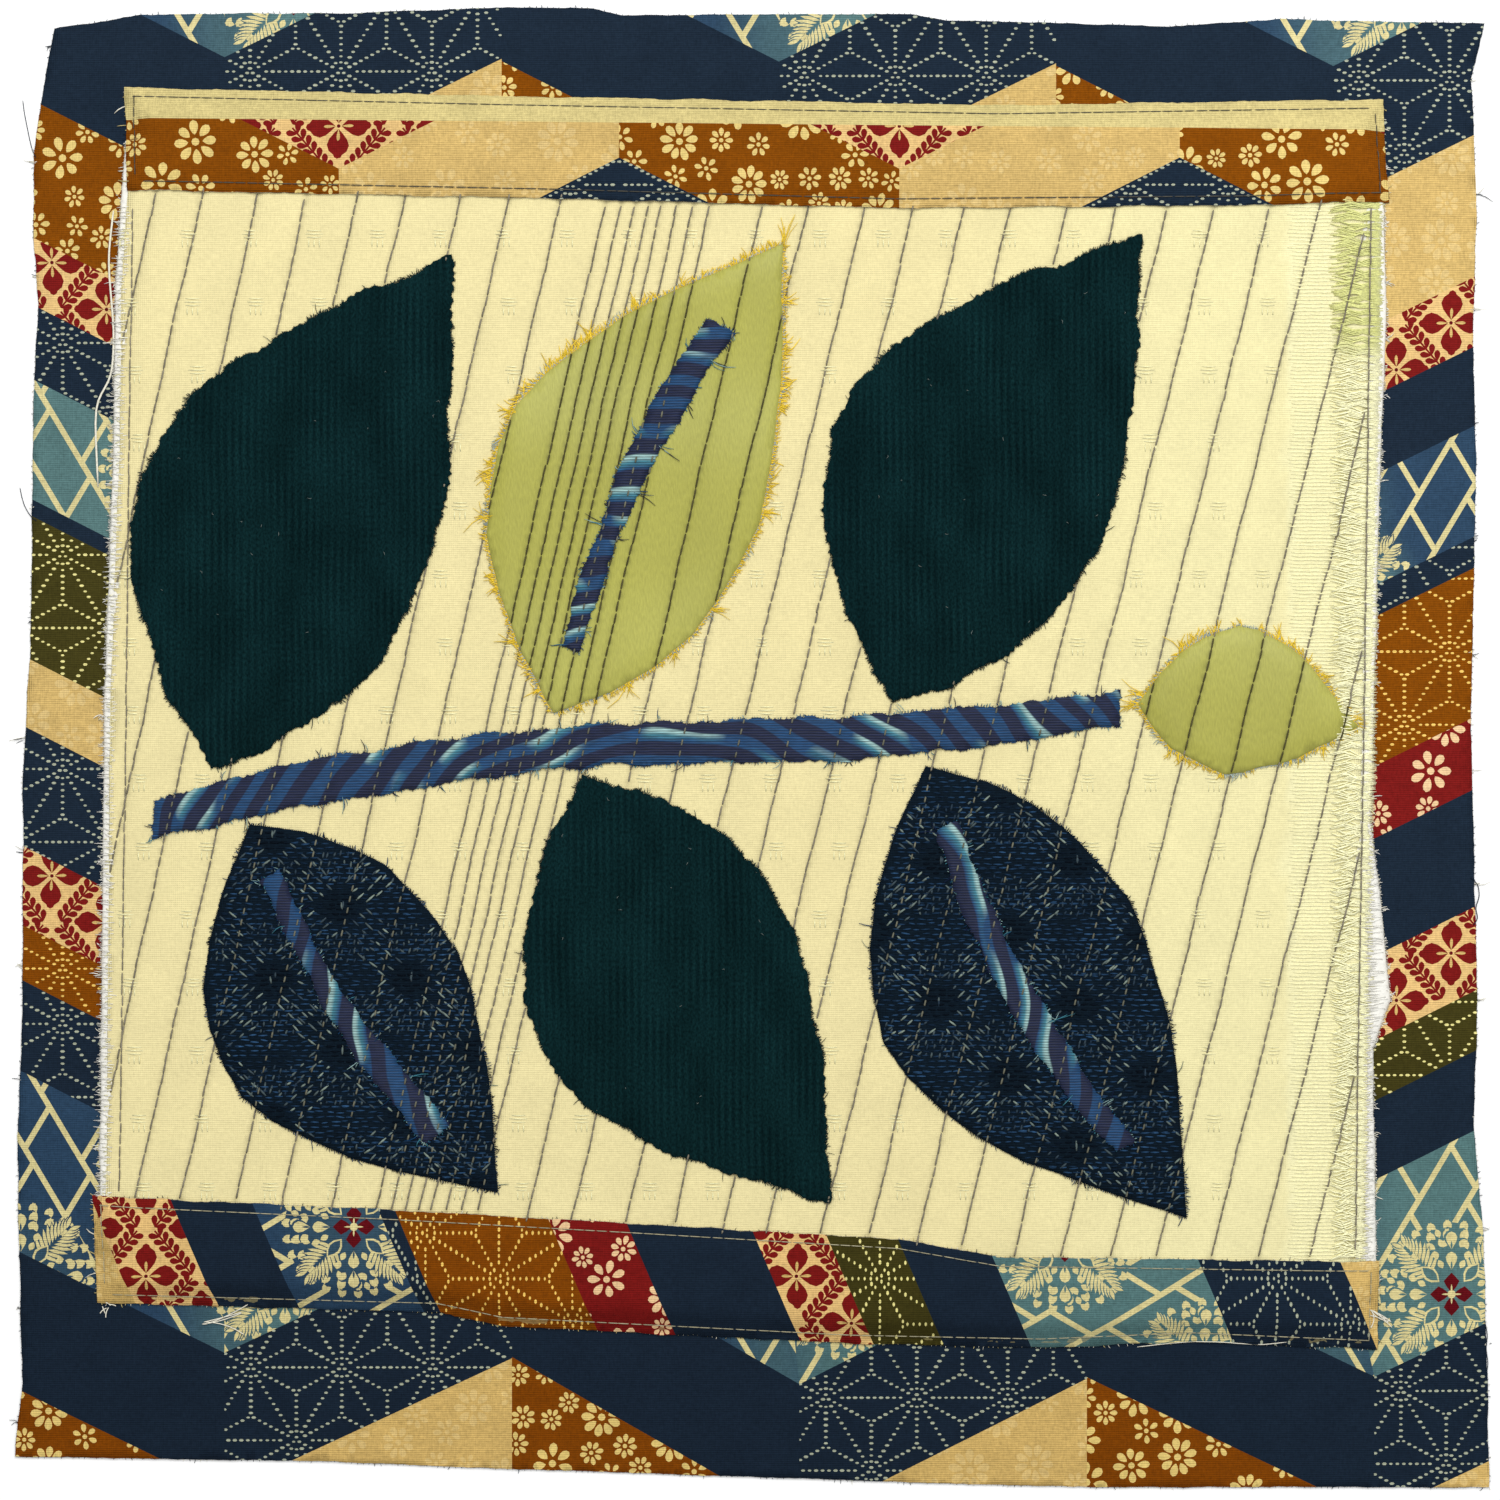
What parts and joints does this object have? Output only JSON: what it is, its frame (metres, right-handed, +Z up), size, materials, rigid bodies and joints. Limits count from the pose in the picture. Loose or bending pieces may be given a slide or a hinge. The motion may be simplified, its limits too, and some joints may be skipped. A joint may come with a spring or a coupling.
{
  "type": "art quilt",
  "caption": "Small square art quilt with raw frayed edges: printed base cloth, batting, quilted cream panel, printed strips and cut-cloth leaves, laid flat or put up as decoration.",
  "frame": {"origin": "middle of the quilt's box, on its underside", "axes": "+Z up out of the quilted face, +Y toward the quilt's top edge, +X to its right"},
  "size_m": [0.3064, 0.3076, 0.0066],
  "materials": {
    "print_cloth": "matt printed cotton, navy with ochre, peach, red and teal patches",
    "fleece": "soft white needled fleece",
    "cream_cloth": "matt figured cotton, quilted with grey thread",
    "silk_cloth": "soft sheen, striped silk, torn edges",
    "cord_cloth": "fine-wale corduroy pile",
    "satin_cloth": "satin weave with a soft sheen",
    "indigo_cloth": "matt figured weave with pale dashes",
    "thread": "grey sewing thread"
  },
  "bodies": {
    "root": {"base_cloth": "print_cloth", "batting": "fleece", "cream_panel": "cream_cloth", "top_strip": "print_cloth", "bottom_strip": "print_cloth", "branch_strip": "silk_cloth", "cord_leaf_1": "cord_cloth", "cord_leaf_2": "cord_cloth", "cord_leaf_3": "cord_cloth", "satin_leaf_1": "satin_cloth", "satin_leaf_2": "satin_cloth", "indigo_leaf_1": "indigo_cloth", "indigo_leaf_2": "indigo_cloth", "satin_leaf_1_rib": "silk_cloth", "indigo_leaf_1_rib": "silk_cloth", "indigo_leaf_2_rib": "silk_cloth"}
  },
  "joints": []
}
